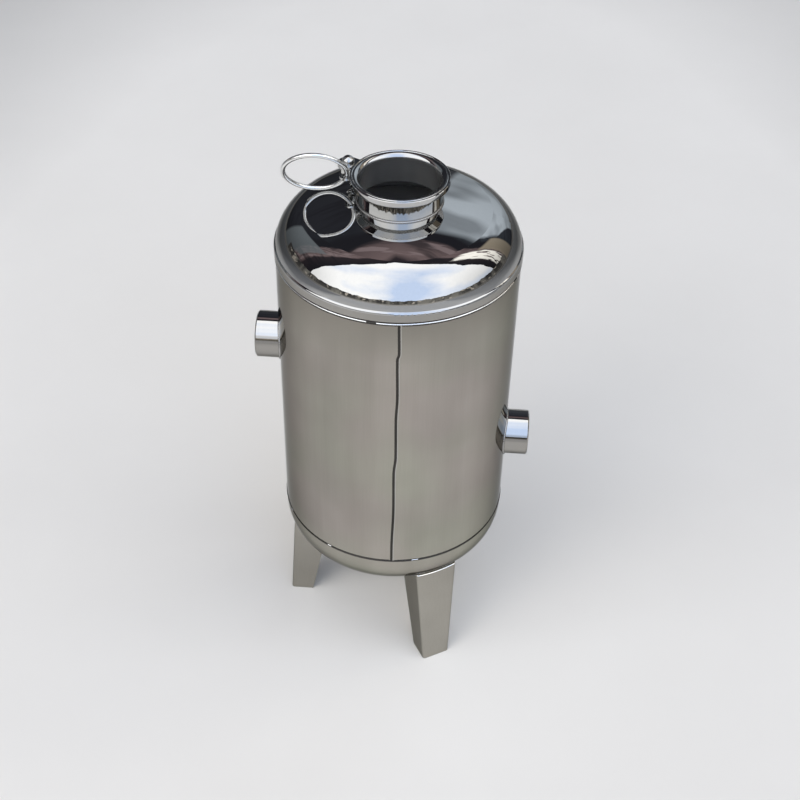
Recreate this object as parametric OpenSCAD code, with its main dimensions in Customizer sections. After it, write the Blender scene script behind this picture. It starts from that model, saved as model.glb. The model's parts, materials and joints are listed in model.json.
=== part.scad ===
/* [Tank body] */
// Outside diameter of the rolled shell
shell_od = 300; // [280:5:330]
// Wall of the shell and of both pressed heads
wall = 2; // [1.5:0.5:3]
// Shell length between the centres of the two girth welds
shell_len = 393; // [380:1:520]
// Height of the lower girth weld above the floor
shell_base_z = 214; // [200:2:240]
// Butt gap that a girth or seam weld fills
butt_gap = 2; // [1.5:0.25:2.5]

/* [Pressed heads] */
// Outside radius of the crown
crown_r = 400; // [380:5:440]
// Outside radius of the knuckle
knuckle_r = 54; // [50:1:57]
// Straight flange of the top head
top_flange_h = 6.5; // [4:0.5:9]
// Straight flange of the bottom head
bottom_flange_h = 9; // [6:0.5:12]
// Height of the rim band's shoulder above the top head's lower edge
rim_h = 11.8; // [10:0.1:14]
// How far the rim band stands proud of the shell
rim_proud = 1.2; // [0.6:0.1:1.5]
// Radius of the rim band's shoulder
rim_round = 4.5; // [3.5:0.1:5]

/* [Welds] */
// Width of the upper girth weld's bead
top_bead_w = 5; // [4:0.1:6]
// How far the upper girth weld's bead stands proud
top_bead_h = 1; // [0.6:0.1:1.2]
// Width of the lower girth weld's bead
base_bead_w = 4; // [3:0.1:5]
// How far the lower girth weld's bead stands proud
base_bead_h = 0.6; // [0.3:0.1:1]
// Width of the cap of the longitudinal seam
seam_w = 2.8; // [2.6:0.1:4]
// How far the seam's cap stands proud
seam_h = 0.4; // [0.3:0.1:0.6]
// Angle of the longitudinal seam about the tank's axis
seam_angle = -86; // [-100:0.5:-75]
// Leg length of the fillet beads round the fittings
fillet_w = 3; // [2:0.5:3.5]

/* [Filling neck] */
// Outside diameter of the neck tube
neck_od = 101.6; // [96:0.2:104]
// Wall of the neck tube
neck_wall = 2.1; // [1.6:0.1:2.6]
// Height of the clamp flange's face above the upper girth weld
neck_rise = 104; // [100:1:115]
// Outside diameter of the clamp flange
clamp_od = 119; // [117:0.5:122]
// Height of the clamp flange's edge band
clamp_band_h = 7; // [6:0.5:8]
// Taper of the clamp flange's underside
clamp_taper = 20; // [15:1:25]
// Radius of the round lip into the bore
lip_r = 6; // [4:0.5:6.5]
// Radius of the gasket groove's section
groove_r = 1.1; // [0.8:0.1:1.2]
// Diameter of the gasket groove's centre line
groove_pcd = 112.6; // [112:0.2:113.2]
// Chamfer on the clamp flange's outer edges
edge_chamfer = 0.7; // [0.4:0.1:1]
// Length of neck tube that stands inside the top head
neck_inset = 3; // [2:0.5:5]

/* [Side ports] */
// Outside diameter of a port socket
port_od = 60; // [56:1:64]
// Radius of a port's thread bore
port_bore_r = 22.4; // [20:0.1:24]
// Distance from the tank's axis to a port's end face, less the shell radius
port_proj = 29.6; // [26:0.2:36]
// Height of the upper port above the lower girth weld
upper_port_rise = 251.5; // [240:0.5:280]
// Height of the lower port above the lower girth weld
lower_port_rise = 110; // [104:0.5:130]
// Length of a socket inside the shell wall
port_inset = 4; // [3:0.5:6]
// Chamfer at a port's mouth and rim
port_chamfer = 1.5; // [1:0.25:2]
// Depth of the thread bore from the mouth
port_thread_len = 26; // [20:1:28]

/* [Legs] */
// Thickness of the folded leg plate
leg_t = 3; // [2:0.5:4]
// How far the web's outer face is set in from the shell at the floor
leg_foot_in = 1; // [-2:0.5:3]
// How far the web's outer face is set in from the shell at its top
leg_top_in = 12; // [11:0.5:13]
// Height of the web's top edge below the lower girth weld
leg_top_drop = 45; // [43:0.5:46]
// Width of the web at the floor
leg_foot_w = 40; // [38:1:48]
// Width of the web at its top
leg_top_w = 59.5; // [54:0.5:62]
// Depth of the channel at the floor
leg_foot_depth = 32; // [28:1:38]
// How far the channel's inner edge is set in from the shell where it meets the head
leg_inner_in = 60; // [54:1:64]

/* [Ring handle] */
// Diameter of the ring's wire
wire_d = 5.5; // [4.5:0.5:6]
// Radius of the ring's centre line
ring_r = 37.5; // [34:0.5:40]
// Lean of the ring's plane towards the front
ring_lean = 29; // [24:1:32]
// Turn of the ring's plane about the upright
ring_turn = 3.9; // [2:0.1:6]
// Gap between the ring and the clamp flange's edge
ring_side_gap = 1.3; // [1:0.1:2.5]
// Gap between the ring's lowest point and the top head
ring_rest_gap = 1.5; // [1:0.25:3]
// Sideways place of the ring's centre
ring_y = 6; // [4:0.5:8]

/* [Hinge bracket] */
// Angle of the lug about the tank's axis
lug_angle = 151; // [148:0.5:154]
// Radius of the bolt's centre from the tank's axis
bolt_pcr = 74; // [73:0.5:76]
// Half width and end radius of the lug
lug_r = 12.5; // [12:0.5:13]
// Thickness of the lug
lug_t = 5; // [4:0.5:6]
// Thread diameter of the pivot bolt
bolt_d = 8; // [6:1:8]
// Diameter of the bolt's dome head
bolt_head_d = 15.5; // [14:0.5:17]
// Height of the bolt's dome head
bolt_head_h = 8.5; // [7:0.5:10]
// Height of the hexagon nut
nut_h = 6.5; // [5:0.5:7]
// Width of the hexagon nut across its flats
nut_af = 13; // [12:0.5:13]
// Thickness of the washer
washer_t = 1.6; // [1:0.2:2]
// Diameter of the washer
washer_d = 16; // [15:0.5:17]
// Thickness of the eye plate
eye_t = 3; // [2.5:0.5:4]
// Half width of the eye plate
eye_r = 7.8; // [7.5:0.1:8.5]
// Diameter of the hole that the ring hangs in
eye_hole_d = 10; // [9.6:0.1:10.5]

/* [Inside the tank] */
// Outside diameter of the dip pipe and the strainer
pipe_od = 38; // [34:0.5:39]
// Radial clearance of a pipe in its socket
pipe_clear = 0.1; // [0.05:0.05:0.2]
// Wall of the dip pipe and the strainer
pipe_wall = 1.5; // [1:0.25:2]
// Bend radius of the dip pipe
bend_r = 48; // [46:1:56]
// Distance of the dip pipe's upright leg from the tank's axis
dip_x = 62; // [50:1:70]
// Height of the dip pipe's end below the lower girth weld
dip_end_drop = 30; // [20:1:40]
// Length of the pipes inside a port socket
pipe_seat = 8; // [5:0.5:8]
// Reach of the outlet strainer inside the shell
strainer_len = 96; // [80:1:110]
// Width of the strainer's slots
strainer_slot_w = 3; // [2:0.25:4]
// Slots round the strainer, in opposite pairs
strainer_slots = 12; // [8:2:14]
// Bare length at each end of a strainer slot
strainer_land = 12; // [8:1:14]
// Thickness of the crystal grid
grid_t = 2; // [1.5:0.5:3]
// Height of the crystal grid's underside above the lower girth weld
grid_rise = 12; // [8:1:20]
// Gap between the grid and the shell
grid_gap = 1; // [0.6:0.1:1.5]
// Diameter of the grid's holes
grid_hole_d = 10; // [8:0.5:12]
// Rings of holes in the grid
grid_rings = 4; // [3:1:4]
// Reach of a grid clip from the shell
clip_reach = 16; // [12:1:20]
// Width of a grid clip
clip_w = 22; // [16:1:26]
// Thickness of a grid clip
clip_t = 3; // [2:0.5:4]

/* [Drain] */
// Outside diameter of the drain socket
drain_od = 32; // [28:1:36]
// Radius of the drain's thread bore
drain_bore_r = 9.3; // [8:0.1:10]
// Length of the drain socket
drain_len = 22; // [20:1:28]
// Width of the drain plug across its flats
plug_af = 27; // [24:1:28]
// Height of the drain plug's hexagon
plug_hex_h = 8; // [6:1:10]
// Length of the drain plug's thread
plug_thread_len = 15; // [12:1:18]

/* [Hidden] */
$fn = 96;
eps = 1;
touch = 0.05;
shell_r = shell_od / 2;
z_low = shell_base_z;
z_up = shell_base_z + shell_len;
plate_z0 = z_low + butt_gap / 2;
plate_len = shell_len - butt_gap;
knuckle_c = shell_r - knuckle_r;
crown_drop = sqrt(pow(crown_r - knuckle_r, 2) - pow(knuckle_c, 2));
top_head_z = z_up + butt_gap / 2;
bottom_head_z = z_low - butt_gap / 2;
crown_z = top_head_z + top_flange_h - crown_drop;
sump_z = bottom_head_z - bottom_flange_h + crown_drop;
neck_r = neck_od / 2;
neck_bore_r = neck_r - neck_wall;
neck_top = z_up + neck_rise;
neck_low = crown_height(neck_r, 0) - wall - neck_inset;
clamp_r = clamp_od / 2;
clamp_under = neck_top - clamp_band_h;
taper_drop = (clamp_r - neck_r) * tan(clamp_taper);
port_r = port_od / 2;
port_end = shell_r + port_proj;
port_in = shell_r - wall - port_inset;
upper_port_z = z_low + upper_port_rise;
lower_port_z = z_low + lower_port_rise;
LEG_ANGLES = [180, -60, 60];
leg_top_z = z_low - leg_top_drop;
leg_foot_r = shell_r - leg_foot_in;
leg_top_r = shell_r - leg_top_in;
leg_inner_top_r = shell_r - leg_inner_in;
rim_low = (top_bead_w - butt_gap) / 2 + 1;
wire_r = wire_d / 2;
ring_x = -(clamp_r + ring_side_gap + wire_r + ring_r);
ring_low_y = ring_y + ring_r * sin(ring_lean);
ring_low_r = sqrt(pow(ring_x, 2) + pow(ring_low_y, 2));
ring_z = crown_height(ring_low_r, ring_rest_gap + wire_r) + ring_r * cos(ring_lean);
bolt_x = bolt_pcr * cos(lug_angle);
bolt_y = bolt_pcr * sin(lug_angle);
lug_top = clamp_under;
lug_low = lug_top - lug_t;
eye_low = lug_low - eye_t;
eye_mid = lug_low - eye_t / 2;
washer_low = eye_low - washer_t;
nut_low = washer_low - nut_h;
bolt_end = nut_low - bolt_d / 4;
bolt_clear = 0.25;
eye_phi = asin((eye_mid - ring_z) / (ring_r * cos(ring_lean)));
ring_out = ring_r * cos(eye_phi);
ring_fore = -ring_r * sin(eye_phi) * sin(ring_lean);
eye_x = ring_x + ring_out * cos(ring_turn) - ring_fore * sin(ring_turn);
eye_y = ring_y + ring_out * sin(ring_turn) + ring_fore * cos(ring_turn);
eye_len = sqrt(pow(bolt_x - eye_x, 2) + pow(bolt_y - eye_y, 2));
eye_dir = atan2(bolt_y - eye_y, bolt_x - eye_x);
pipe_r = pipe_od / 2;
dip_end = z_low - dip_end_drop;
strainer_end = port_in - strainer_len;
slot_len = (strainer_len - 3 * strainer_land) / 2;
slot_mid = strainer_end + strainer_land + slot_len / 2;
cap_t = 2;
cap_skirt = 6;
grid_z = z_low + grid_rise;
grid_r = shell_r - wall - grid_gap;
grid_pitch = (grid_r - grid_hole_d) / grid_rings;
CLIP_ANGLES = [45, 135, 225, 315];
drain_r = drain_od / 2;
drain_top = sump_height(0) + wall + 2;
drain_low = drain_top - drain_len;

// Height of a surface that lies a given distance over the top head's crown
function crown_height(r, over) = crown_z + sqrt(pow(crown_r + over, 2) - pow(r, 2));

// Height of the bottom head's outside
function sump_height(r) = sump_z - sqrt(pow(crown_r, 2) - pow(r, 2));

// Section of a dished head, solid, with its flange starting at height 0
module head_section(grow, flange_h, below) {
    kc = [knuckle_c, flange_h];
    cc = [0, flange_h - crown_drop];
    far = 1.2 * (crown_r + grow) / (crown_r - knuckle_r);
    translate([0, -below]) square([shell_r + grow, flange_h + below]);
    intersection() {
        translate(kc) circle(r = knuckle_r + grow);
        translate([0, flange_h]) square([shell_r + grow + eps, knuckle_r + grow + eps]);
    }
    intersection() {
        translate(cc) circle(r = crown_r + grow, $fn = 720);
        polygon([cc, cc + far * (kc - cc), cc + [0, 1.2 * (crown_r + grow)]]);
        translate([0, -below]) square([shell_r + grow, crown_r]);
    }
}

// Solid head, for cutting what seats on it
module head_solid(grow, flange_h) {
    rotate_extrude() head_section(grow, flange_h, eps);
}

// Band round the top head's foot, proud of the shell, with a round shoulder
module rim_section() {
    translate([shell_r - wall, rim_low]) square([wall + rim_proud, rim_h - rim_low]);
    intersection() {
        translate([shell_r + rim_proud - rim_round, rim_h]) circle(r = rim_round);
        translate([shell_r - wall - rim_round, rim_h]) square(2 * rim_round);
    }
}

module place_bottom_head() {
    translate([0, 0, bottom_head_z]) mirror([0, 0, 1]) children();
}

// Cylinder along X, from x0 to x1 at height z
module bar_x(r, x0, x1, z) {
    translate([x0, 0, z]) rotate([0, 90, 0]) cylinder(r = r, h = x1 - x0);
}

module shell() {
    color("silver") difference() {
        translate([0, 0, plate_z0]) cylinder(r = shell_r, h = plate_len, $fn = 180);
        translate([0, 0, plate_z0 - eps]) cylinder(r = shell_r - wall, h = plate_len + 2 * eps, $fn = 180);
        bar_x(port_r, -shell_r - eps, 0, upper_port_z);
        bar_x(port_r, 0, shell_r + eps, lower_port_z);
        rotate([0, 0, seam_angle]) translate([0, -butt_gap / 2, plate_z0 - eps])
            cube([shell_r + eps, butt_gap, plate_len + 2 * eps]);
    }
}

// One ring sector of the seam, drawn flat
module seam_strip(r0, r1, w, shift) {
    intersection() {
        difference() {
            circle(r = r1, $fn = 180);
            circle(r = r0, $fn = 180);
        }
        translate([0, shift - w / 2]) square([r1 + eps, w]);
    }
}

// The root fills the butt gap, and the cap lies over it in passes that wander a little
module shell_seam_weld() {
    passes = 5;
    pass_len = plate_len / passes;
    color("gray") rotate([0, 0, seam_angle]) {
        translate([0, 0, plate_z0]) linear_extrude(plate_len)
            seam_strip(shell_r - wall, shell_r, butt_gap, 0);
        for (i = [0 : passes - 1])
            translate([0, 0, plate_z0 + i * pass_len]) linear_extrude(pass_len)
                seam_strip(shell_r, shell_r + seam_h, seam_w, 0.35 * sin(140 * i));
    }
}

module top_head() {
    color("silver") difference() {
        translate([0, 0, top_head_z]) rotate_extrude($fn = 180) difference() {
            union() {
                head_section(0, top_flange_h, 0);
                rim_section();
            }
            head_section(-wall, top_flange_h, eps);
        }
        cylinder(r = neck_r + touch, h = neck_top);
    }
}

module bottom_head() {
    color("silver") difference() {
        place_bottom_head() rotate_extrude($fn = 180) difference() {
            head_section(0, bottom_flange_h, 0);
            head_section(-wall, bottom_flange_h, eps);
        }
        cylinder(r = drain_r + touch, h = z_low);
    }
}

// Ring bead with a root between the plates and a crowned cap outside
module girth_weld(z, w, h) {
    cap_r = (pow(w / 2, 2) + pow(h, 2)) / (2 * h);
    color("gray") translate([0, 0, z]) rotate_extrude($fn = 180) {
        translate([shell_r - wall, -butt_gap / 2]) square([wall, butt_gap]);
        intersection() {
            translate([shell_r + h - cap_r, 0]) circle(r = cap_r);
            translate([shell_r, -w]) square([h + eps, 2 * w]);
        }
    }
}

module top_girth_weld() {
    girth_weld(z_up, top_bead_w, top_bead_h);
}

module bottom_girth_weld() {
    girth_weld(z_low, base_bead_w, base_bead_h);
}

// Outline of the neck tube and its clamp flange, solid to the axis
module ferrule_outline(grow) {
    polygon([[0, neck_low - grow], [neck_r + grow, neck_low - grow],
        [neck_r + grow, clamp_under - taper_drop], [clamp_r + grow, clamp_under],
        [clamp_r + grow, neck_top + grow], [0, neck_top + grow]]);
}

module neck_ferrule() {
    color("silver") rotate_extrude($fn = 128) difference() {
        ferrule_outline(0);
        translate([0, neck_low - eps]) square([neck_bore_r, neck_top - neck_low + 2 * eps]);
        translate([neck_bore_r - eps, neck_top - lip_r]) difference() {
            square([lip_r + eps, lip_r + eps]);
            translate([lip_r + eps, 0]) circle(r = lip_r);
        }
        translate([groove_pcd / 2, neck_top]) circle(r = groove_r, $fn = 24);
        translate([clamp_r, neck_top]) rotate(45) square(edge_chamfer * sqrt(2), center = true);
        translate([clamp_r, clamp_under]) rotate(45) square(edge_chamfer * sqrt(2), center = true);
    }
}

module neck_weld() {
    color("gray") difference() {
        rotate_extrude() translate([neck_r, crown_height(neck_r, 0)]) circle(r = fillet_w, $fn = 32);
        cylinder(r = neck_r, h = neck_top);
        translate([0, 0, top_head_z]) head_solid(0, top_flange_h);
    }
}

// Half coupling along +X: thread bore at the mouth, a seat for the inside pipe, two chamfers
module port_socket(z) {
    bore = port_bore_r;
    difference() {
        bar_x(port_r, port_in, port_end, z);
        bar_x(bore, port_end - port_thread_len, port_end + eps, z);
        bar_x(pipe_r + pipe_clear, port_in - eps, port_end, z);
        translate([port_end - port_chamfer, 0, z]) rotate([0, 90, 0])
            cylinder(r1 = bore, r2 = bore + port_chamfer, h = port_chamfer + touch);
        translate([port_end - port_chamfer, 0, z]) rotate([0, 90, 0]) difference() {
            cylinder(r = port_r + eps, h = port_chamfer + eps);
            cylinder(r1 = port_r, r2 = port_r - port_chamfer, h = port_chamfer);
        }
    }
}

// Fillet bead between a socket along +X and the shell, laid in two steps
module port_weld(z) {
    for (step = [[fillet_w, fillet_w / 2], [fillet_w / 2, fillet_w]])
        difference() {
            intersection() {
                bar_x(port_r + step[0], 0, port_end, z);
                translate([0, 0, z - port_od]) cylinder(r = shell_r + step[1], h = 2 * port_od, $fn = 180);
            }
            bar_x(port_r, -eps, port_end, z);
            translate([0, 0, z - port_od - eps]) cylinder(r = shell_r, h = 2 * port_od + 2 * eps, $fn = 180);
        }
}

module upper_port_socket() {
    color("silver") mirror([1, 0, 0]) port_socket(upper_port_z);
}

module lower_port_socket() {
    color("silver") port_socket(lower_port_z);
}

module upper_port_weld() {
    color("gray") mirror([1, 0, 0]) port_weld(upper_port_z);
}

module lower_port_weld() {
    color("gray") port_weld(lower_port_z);
}

// Block of a leg, grown outwards: a leaning side view crossed with a widening front view
module leg_block(grow) {
    lean_in = (leg_foot_r - leg_top_r) / leg_top_z;
    flare = (leg_top_w - leg_foot_w) / 2 / leg_top_z;
    inner_foot = leg_foot_r - leg_foot_depth;
    head_z = sump_height(leg_inner_top_r);
    inner_lean = (inner_foot - leg_inner_top_r) / head_z;
    top = leg_top_z;
    intersection() {
        translate([0, leg_top_w, 0]) rotate([90, 0, 0]) linear_extrude(2 * leg_top_w)
            polygon([[inner_foot, 0], [leg_foot_r + grow, 0],
                [leg_foot_r + grow - lean_in * top, top], [inner_foot - inner_lean * top, top]]);
        rotate([90, 0, 90]) linear_extrude(shell_r + leg_t)
            polygon([[-leg_foot_w / 2 - grow, 0], [leg_foot_w / 2 + grow, 0],
                [leg_foot_w / 2 + grow + flare * top, top], [-leg_foot_w / 2 - grow - flare * top, top]]);
    }
}

// Hollow of the channel: the block again, set in by the plate and run out at the back
module leg_hollow() {
    lean_in = (leg_foot_r - leg_top_r) / leg_top_z;
    flare = (leg_top_w - leg_foot_w) / 2 / leg_top_z;
    half = leg_foot_w / 2 - leg_t;
    face = leg_foot_r - leg_t;
    low = -eps;
    top = leg_top_z + eps;
    intersection() {
        translate([0, leg_top_w, 0]) rotate([90, 0, 0]) linear_extrude(2 * leg_top_w)
            polygon([[0, low], [face - lean_in * low, low], [face - lean_in * top, top], [0, top]]);
        rotate([90, 0, 90]) linear_extrude(shell_r)
            polygon([[-half - flare * low, low], [half + flare * low, low],
                [half + flare * top, top], [-half - flare * top, top]]);
    }
}

// Folded channel leg with its upper edges cut to the bottom head
module leg(angle) {
    color("silver") rotate([0, 0, angle]) difference() {
        leg_block(0);
        leg_hollow();
        place_bottom_head() head_solid(0, bottom_flange_h);
    }
}

module leg_left() {
    leg(LEG_ANGLES[0]);
}

module leg_front() {
    leg(LEG_ANGLES[1]);
}

module leg_back() {
    leg(LEG_ANGLES[2]);
}

// Beads outside the legs' flanges, where they meet the bottom head
module leg_welds() {
    bead = fillet_w * 0.8;
    color("gray") for (angle = LEG_ANGLES) rotate([0, 0, angle]) difference() {
        intersection() {
            leg_block(bead);
            place_bottom_head() head_solid(bead, bottom_flange_h);
        }
        leg_block(0);
        place_bottom_head() head_solid(0, bottom_flange_h);
        translate([leg_top_r - 3 * bead, -leg_top_w, 0]) cube([leg_t + 6 * bead, 2 * leg_top_w, z_low]);
        translate([0, -leg_foot_w / 2 - bead, 0]) cube([shell_r, leg_foot_w + 2 * bead, z_low]);
    }
}

// Tongue under the clamp flange, coped to the neck, with the bolt's hole in its round end
module hinge_lug() {
    color("silver") difference() {
        translate([0, 0, lug_low]) rotate([0, 0, lug_angle]) union() {
            translate([neck_r - lug_r, -lug_r, 0]) cube([bolt_pcr - neck_r + lug_r, 2 * lug_r, lug_t]);
            translate([bolt_pcr, 0, 0]) cylinder(r = lug_r, h = lug_t);
        }
        rotate_extrude($fn = 128) ferrule_outline(touch);
        translate([bolt_x, bolt_y, lug_low - eps])
            cylinder(d = bolt_d + 2 * bolt_clear, h = lug_t + 2 * eps);
    }
}

// Bead along the lug's underside where it meets the neck tube
module lug_weld() {
    color("gray") intersection() {
        difference() {
            rotate_extrude($fn = 128) translate([neck_r, lug_low]) circle(r = fillet_w * 0.7, $fn = 32);
            cylinder(r = neck_r, h = neck_top, $fn = 128);
            translate([0, 0, lug_low]) cylinder(r = clamp_r, h = lug_t);
        }
        rotate([0, 0, lug_angle]) translate([0, -lug_r, lug_low - lug_t]) cube([bolt_pcr, 2 * lug_r, lug_t]);
    }
}

// Dome head over the lug, with its shank through the lug, eye plate, washer and nut
module pivot_bolt() {
    dome_r = (pow(bolt_head_d / 2, 2) + pow(bolt_head_h, 2)) / (2 * bolt_head_h);
    color("silver") translate([bolt_x, bolt_y, 0]) {
        translate([0, 0, lug_top]) intersection() {
            translate([0, 0, bolt_head_h - dome_r]) sphere(r = dome_r, $fn = 64);
            cylinder(d = bolt_head_d + dome_r, h = bolt_head_h + eps);
        }
        translate([0, 0, bolt_end]) cylinder(d = bolt_d, h = lug_top - bolt_end + touch);
    }
}

module pivot_washer() {
    color("gray") translate([bolt_x, bolt_y, washer_low]) difference() {
        cylinder(d = washer_d, h = washer_t);
        translate([0, 0, -eps]) cylinder(d = bolt_d + 2 * bolt_clear, h = washer_t + 2 * eps);
    }
}

module pivot_nut() {
    color("silver") translate([bolt_x, bolt_y, nut_low]) difference() {
        intersection() {
            cylinder(d = nut_af / cos(30), h = nut_h, $fn = 6);
            cylinder(r1 = nut_af / 2, r2 = nut_af / 2 + nut_h, h = nut_h);
        }
        translate([0, 0, -eps]) cylinder(d = bolt_d + touch, h = nut_h + 2 * eps);
    }
}

// Flat link from the bolt to the ring, with a round hole at each end
module eye_plate() {
    color("silver") translate([eye_x, eye_y, eye_low]) rotate([0, 0, eye_dir]) difference() {
        union() {
            cylinder(r = eye_r, h = eye_t);
            translate([eye_len, 0, 0]) cylinder(r = eye_r, h = eye_t);
            translate([0, -eye_r, 0]) cube([eye_len, 2 * eye_r, eye_t]);
        }
        translate([0, 0, -eps]) cylinder(d = eye_hole_d, h = eye_t + 2 * eps);
        translate([eye_len, 0, -eps]) cylinder(d = bolt_d + 2 * bolt_clear, h = eye_t + 2 * eps);
    }
}

// Closed wire ring, hung in the eye plate's hole and leaning towards the front
module ring_handle() {
    color("silver") translate([ring_x, ring_y, ring_z]) rotate([0, 0, ring_turn])
        rotate([90 + ring_lean, 0, 0])
            rotate_extrude($fn = 128) translate([ring_r, 0]) circle(r = wire_r, $fn = 32);
}

// Tube section with the shared inside pipe's wall
module pipe_section() {
    difference() {
        circle(r = pipe_r);
        circle(r = pipe_r - pipe_wall);
    }
}

// From the lower port inwards, round a bend and down through the grid
module dip_pipe() {
    color("silver") {
        translate([dip_x + bend_r, 0, lower_port_z]) rotate([0, 90, 0])
            linear_extrude(port_in + pipe_seat - dip_x - bend_r) pipe_section();
        translate([dip_x + bend_r, 0, lower_port_z - bend_r]) rotate([90, 0, 0]) rotate([0, 0, 90])
            rotate_extrude(angle = 90) translate([bend_r, 0]) pipe_section();
        translate([dip_x, 0, dip_end]) linear_extrude(lower_port_z - bend_r - dip_end) pipe_section();
    }
}

// Slotted tube behind the upper port, which keeps the crystals in
module outlet_strainer() {
    color("silver") difference() {
        translate([-port_in - pipe_seat, 0, upper_port_z]) rotate([0, 90, 0])
            linear_extrude(strainer_len + pipe_seat) pipe_section();
        for (row = [0, 1], k = [0 : strainer_slots / 2 - 1])
            translate([-slot_mid - row * (slot_len + strainer_land), 0, upper_port_z])
                rotate([k * 360 / strainer_slots, 0, 0])
                    cube([slot_len, strainer_slot_w, 3 * pipe_r], center = true);
    }
}

// Plug that closes the strainer's inner end
module strainer_cap() {
    color("gray") translate([-strainer_end, 0, upper_port_z]) rotate([0, 90, 0]) {
        cylinder(r = pipe_r + cap_t / 2, h = cap_t);
        translate([0, 0, -cap_skirt]) cylinder(r = pipe_r - pipe_wall - touch, h = cap_skirt + touch);
    }
}

// Perforated plate that carries the crystals, with a hole for the dip pipe
module crystal_grid() {
    color("silver") difference() {
        translate([0, 0, grid_z]) cylinder(r = grid_r, h = grid_t);
        for (ring = [1 : grid_rings], k = [0 : 6 * ring - 1]) {
            a = k * 60 / ring + 30 / grid_rings;
            rr = ring * grid_pitch - grid_hole_d / 2;
            if (norm([rr * cos(a) - dip_x, rr * sin(a)]) > pipe_r + grid_hole_d)
                translate([rr * cos(a), rr * sin(a), grid_z - eps])
                    cylinder(d = grid_hole_d, h = grid_t + 2 * eps, $fn = 16);
        }
        translate([dip_x, 0, grid_z - eps]) cylinder(r = pipe_r + bolt_clear, h = grid_t + 2 * eps);
    }
}

// Shelf clips on the shell's inside, under the grid's rim
module grid_clips() {
    color("gray") for (a = CLIP_ANGLES) rotate([0, 0, a]) intersection() {
        translate([shell_r - wall - clip_reach, -clip_w / 2, grid_z - clip_t])
            cube([clip_reach, clip_w, clip_t]);
        cylinder(r = shell_r - wall, h = z_up, $fn = 180);
    }
}

module drain_socket() {
    color("silver") translate([0, 0, drain_low]) difference() {
        cylinder(r = drain_r, h = drain_len);
        translate([0, 0, -eps]) cylinder(r = drain_bore_r, h = drain_len + 2 * eps);
        translate([0, 0, -touch]) cylinder(r1 = drain_bore_r + eps, r2 = drain_bore_r, h = eps);
    }
}

module drain_weld() {
    color("gray") difference() {
        rotate_extrude() translate([drain_r, sump_height(drain_r)]) circle(r = fillet_w * 0.8, $fn = 32);
        cylinder(r = drain_r, h = z_low);
        place_bottom_head() head_solid(0, bottom_flange_h);
    }
}

module drain_plug() {
    color("silver") {
        translate([0, 0, drain_low - plug_hex_h]) intersection() {
            cylinder(d = plug_af / cos(30), h = plug_hex_h, $fn = 6);
            cylinder(r1 = plug_af / 2, r2 = plug_af / 2 + plug_hex_h, h = plug_hex_h);
        }
        translate([0, 0, drain_low - touch]) cylinder(r = drain_bore_r - touch, h = plug_thread_len + touch);
    }
}

shell();
shell_seam_weld();
top_head();
top_girth_weld();
bottom_head();
bottom_girth_weld();
neck_ferrule();
neck_weld();
upper_port_socket();
upper_port_weld();
lower_port_socket();
lower_port_weld();
leg_left();
leg_front();
leg_back();
leg_welds();
hinge_lug();
lug_weld();
pivot_bolt();
pivot_washer();
pivot_nut();
eye_plate();
ring_handle();
dip_pipe();
outlet_strainer();
strainer_cap();
crystal_grid();
grid_clips();
drain_socket();
drain_weld();
drain_plug();
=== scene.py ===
"""Looks for the phosphate dosing tank: materials, a few finer pieces, floor, sky and camera."""

import json
import math

import bmesh
import bpy
from mathutils import Euler, Matrix, Vector


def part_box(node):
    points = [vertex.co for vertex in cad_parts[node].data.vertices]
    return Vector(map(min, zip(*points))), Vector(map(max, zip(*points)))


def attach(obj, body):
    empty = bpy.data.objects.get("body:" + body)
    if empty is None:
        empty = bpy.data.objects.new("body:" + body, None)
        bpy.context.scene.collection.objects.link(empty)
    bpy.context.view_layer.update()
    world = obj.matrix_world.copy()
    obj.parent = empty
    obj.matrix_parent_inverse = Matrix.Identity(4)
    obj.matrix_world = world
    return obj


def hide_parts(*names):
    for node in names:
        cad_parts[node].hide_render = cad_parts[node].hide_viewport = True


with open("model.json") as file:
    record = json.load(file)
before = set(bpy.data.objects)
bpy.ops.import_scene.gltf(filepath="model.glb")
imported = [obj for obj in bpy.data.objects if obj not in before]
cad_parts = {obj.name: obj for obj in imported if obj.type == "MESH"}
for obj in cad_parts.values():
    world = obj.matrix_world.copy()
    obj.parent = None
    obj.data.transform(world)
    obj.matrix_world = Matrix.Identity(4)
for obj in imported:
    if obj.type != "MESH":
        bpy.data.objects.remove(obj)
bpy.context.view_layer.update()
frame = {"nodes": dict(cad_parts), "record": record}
nodes = frame["nodes"]
mounts = {mount["name"]: mount for mount in frame["record"]["mounts"]}

MM = 0.001
MICRON = 0.000001

# Sizes that the frame gives, in metres
shell_low, shell_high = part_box("shell")
base_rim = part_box("bottom_head")[1][2]
head_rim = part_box("top_head")[0][2]
leg_low, leg_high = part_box("leg_left")
SHELL_R = shell_high[0]
GAP = shell_low[2] - base_rim
Z_LOW = (shell_low[2] + base_rim) / 2
Z_UP = (shell_high[2] + head_rim) / 2
PORT_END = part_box("lower_port_socket")[1][0]
PORT_BORE_R = mounts["lower_port"]["dims"]["r_mm"] * MM
UPPER_PORT_Z = mounts["upper_port"]["pos_m"][2]
LOWER_PORT_Z = mounts["lower_port"]["pos_m"][2]
PORT_R = LOWER_PORT_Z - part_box("lower_port_socket")[0][2]
DRAIN_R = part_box("drain_socket")[1][0]
LEG_FOOT_R = -leg_low[0]
LEG_TOP_Z = leg_high[2]
LEG_TOP_W = 2 * leg_high[1]

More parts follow.
